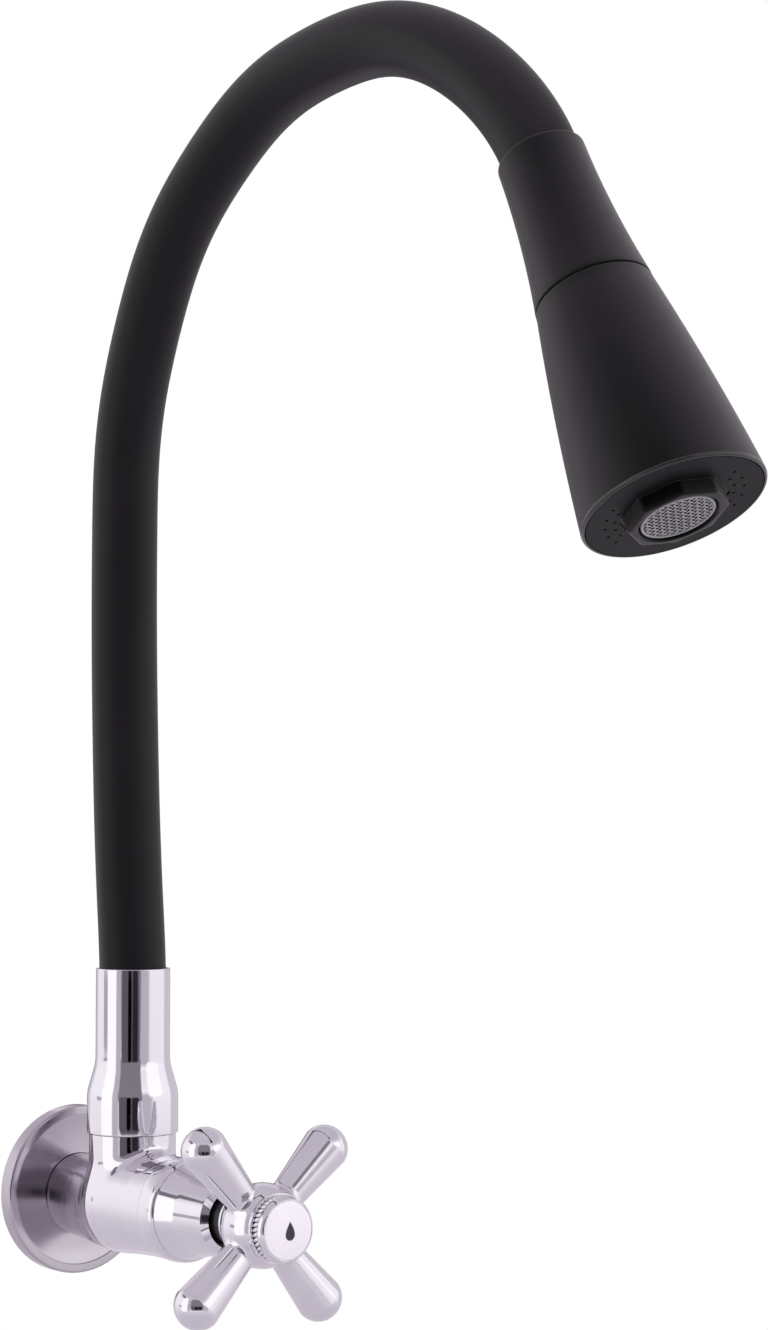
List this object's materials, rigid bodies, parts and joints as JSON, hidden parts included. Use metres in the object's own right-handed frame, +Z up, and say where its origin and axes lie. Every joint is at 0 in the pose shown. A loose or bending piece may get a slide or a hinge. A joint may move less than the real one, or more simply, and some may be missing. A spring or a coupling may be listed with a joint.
{
  "type": "flexible-spout wall tap",
  "caption": "Wall-mounted cold tap with a cross handle, a swivelling flexible black hose spout and a two-jet spray head that is chosen by turning its cone.",
  "frame": {"origin": "centre of the flange's back, on the wall and on the valve axis, where the inlet thread begins", "axes": "+Z up, -Y out from the wall towards the user, +X to the user's right"},
  "size_m": [0.0626, 0.3221, 0.3989],
  "materials": {
    "chrome_body": "polished chrome plate",
    "chrome_handle": "polished chrome plate",
    "chrome_spout": "polished chrome plate",
    "bead_metal": "chrome plate over a rope pattern",
    "index_face": "glossy lavender-white",
    "black_trim": "matt black",
    "brass": "machined",
    "steel": "machined stainless",
    "rubber": "matt",
    "fibre": "red-brown fibre",
    "ceramic": "lapped ceramic",
    "white_plastic": "moulded acetal",
    "hose_silicone": "satin black silicone",
    "hose_core": "wire-wound core in a woven cover",
    "water_tube": "grey drinking-water hose",
    "head_black": "satin black",
    "face_black": "satin black",
    "aerator_grey": "light grey"
  },
  "bodies": {
    "valve_body": {"wall_flange": "chrome_body", "flange_seal": "rubber", "inlet_nipple": "brass", "tap_body": "chrome_body", "swivel_grub_screw": "steel", "cartridge_body": "brass", "cartridge_washer": "fibre", "seat_seal": "rubber", "fixed_disc": "ceramic", "bonnet_sleeve": "chrome_body", "bonnet_ring": "black_trim"},
    "valve_stem": {"moving_disc": "ceramic", "spindle": "steel", "spindle_o_rings": "rubber", "spindle_circlip": "steel", "spline_insert": "brass", "cross_handle": "chrome_handle", "handle_screw": "steel", "bead_ring": "bead_metal", "index_cap": "chrome_handle", "index_disc": "index_face"},
    "spout": {"spout_socket": "chrome_spout", "swivel_spigot": "brass", "swivel_o_rings": "rubber", "glide_ring": "white_plastic", "lower_ferrule": "steel", "hose_sleeve_1": "hose_silicone", "hose_core_1": "hose_core", "water_tube_1": "water_tube"},
    "hose_link_2": {"hose_sleeve_2": "hose_silicone", "hose_core_2": "hose_core", "water_tube_2": "water_tube"},
    "hose_link_3": {"hose_sleeve_3": "hose_silicone", "hose_core_3": "hose_core", "water_tube_3": "water_tube"},
    "hose_link_4": {"hose_sleeve_4": "hose_silicone", "hose_core_4": "hose_core", "water_tube_4": "water_tube"},
    "hose_link_5": {"hose_sleeve_5": "hose_silicone", "hose_core_5": "hose_core", "water_tube_5": "water_tube"},
    "spray_head": {"hose_sleeve_6": "hose_silicone", "hose_core_6": "hose_core", "water_tube_6": "water_tube", "upper_shell": "head_black", "upper_ferrule": "steel", "head_connector": "brass", "connector_washer": "rubber", "diverter_body": "white_plastic", "head_circlip": "steel", "head_o_ring": "rubber", "detent_spring": "steel", "detent_ball": "steel"},
    "spray_selector": {"lower_shell": "head_black", "selector_disc": "white_plastic", "face_plate": "face_black", "nozzle_boss": "head_black", "aerator_washer": "rubber", "aerator_housing": "aerator_grey", "aerator_screen": "steel"}
  },
  "joints": [
    {"name": "spout_swivel", "type": "hinge", "parent": "valve_body", "child": "spout", "pos_m": [0, -0.0367, 0.0219], "axis": [0, 0, 1], "range_deg": [-90, 90]},
    {"name": "hose_lean", "type": "hinge", "parent": "spout", "child": "hose_link_2", "pos_m": [0, -0.03124, 0.15559], "axis": [1, 0, 0], "range_deg": [-8, 12]},
    {"name": "hose_curl_1", "type": "hinge", "parent": "hose_link_2", "child": "hose_link_3", "pos_m": [0, -0.03059, 0.23488], "axis": [1, 0, 0], "range_deg": [-12, 10]},
    {"name": "hose_curl_2", "type": "hinge", "parent": "hose_link_3", "child": "hose_link_4", "pos_m": [0, -0.04686, 0.29541], "axis": [1, 0, 0], "range_deg": [-12, 10]},
    {"name": "hose_curl_3", "type": "hinge", "parent": "hose_link_4", "child": "hose_link_5", "pos_m": [0, -0.09015, 0.34087], "axis": [1, 0, 0], "range_deg": [-12, 10]},
    {"name": "hose_curl_4", "type": "hinge", "parent": "hose_link_5", "child": "spray_head", "pos_m": [0, -0.14797, 0.35648], "axis": [1, 0, 0], "range_deg": [-12, 10]},
    {"name": "handle_turn", "type": "hinge", "parent": "valve_body", "child": "valve_stem", "pos_m": [0, -0.1088, 0], "axis": [0, -1, 0], "range_deg": [0, 90]},
    {"name": "spray_select", "type": "hinge", "parent": "spray_head", "child": "spray_selector", "pos_m": [0, -0.23689, 0.3041], "axis": [0, -0.4352, -0.9003], "range_deg": [0, 90]}
  ],
  "couplings": [
    {"joint": "hose_curl_2", "follows": "hose_curl_1", "ratio": 1},
    {"joint": "hose_curl_3", "follows": "hose_curl_1", "ratio": 1},
    {"joint": "hose_curl_4", "follows": "hose_curl_1", "ratio": 1}
  ]
}
